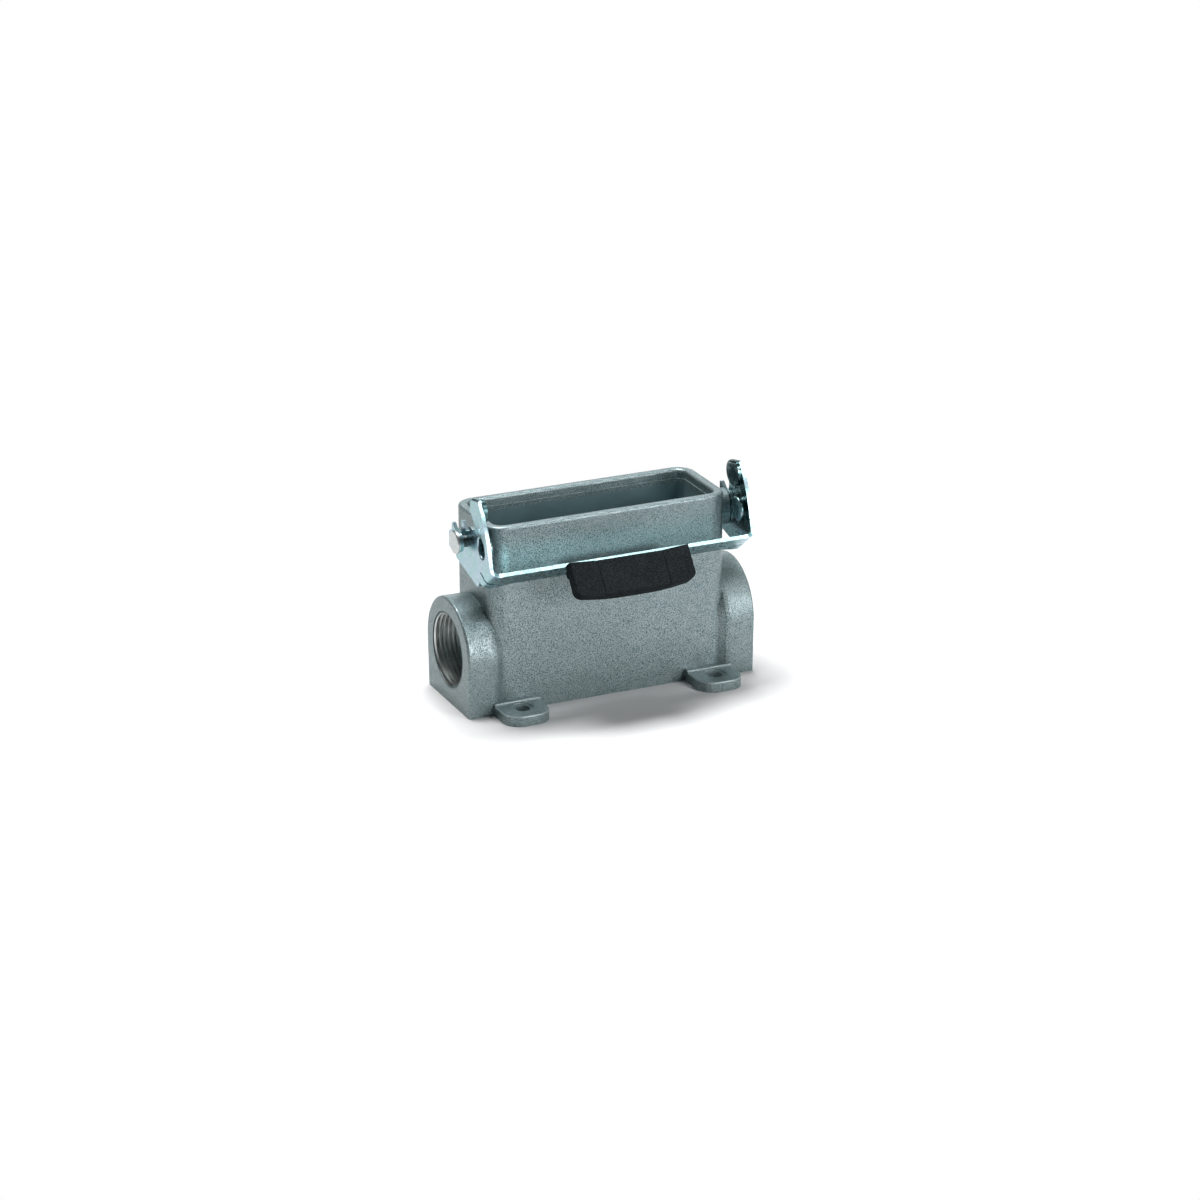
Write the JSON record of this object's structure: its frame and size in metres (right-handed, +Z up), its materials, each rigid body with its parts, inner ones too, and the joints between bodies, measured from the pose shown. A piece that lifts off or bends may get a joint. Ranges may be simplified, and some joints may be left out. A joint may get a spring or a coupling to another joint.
{
  "type": "connector base housing",
  "caption": "Surface-mounting base housing for a rectangular cable connector, with side cable entries, screw feet and a locking lever.",
  "frame": {"origin": "middle of the mounting plane, under the middle of the housing", "axes": "+X along the housing from the left cable entry to the right one, +Z up out of the open collar, the lever's bar on the -Y side"},
  "size_m": [0.1, 0.0653, 0.0722],
  "materials": {
    "casting": "hammertone grey paint on an aluminium die casting",
    "lever_sheet": "zinc-plated folded sheet steel",
    "grip": "black moulded plastic",
    "pin": "zinc-plated turned steel"
  },
  "bodies": {
    "base": {"housing": "casting", "pivot_pin_right": "pin", "pivot_pin_left": "pin"},
    "bail": {"lever": "lever_sheet", "grip": "grip"}
  },
  "joints": [
    {"name": "lever_pivot", "type": "hinge", "parent": "base", "child": "bail", "pos_m": [0, -0.0062, 0.0559], "axis": [-1, 0, 0], "range_deg": [0, 50]}
  ]
}
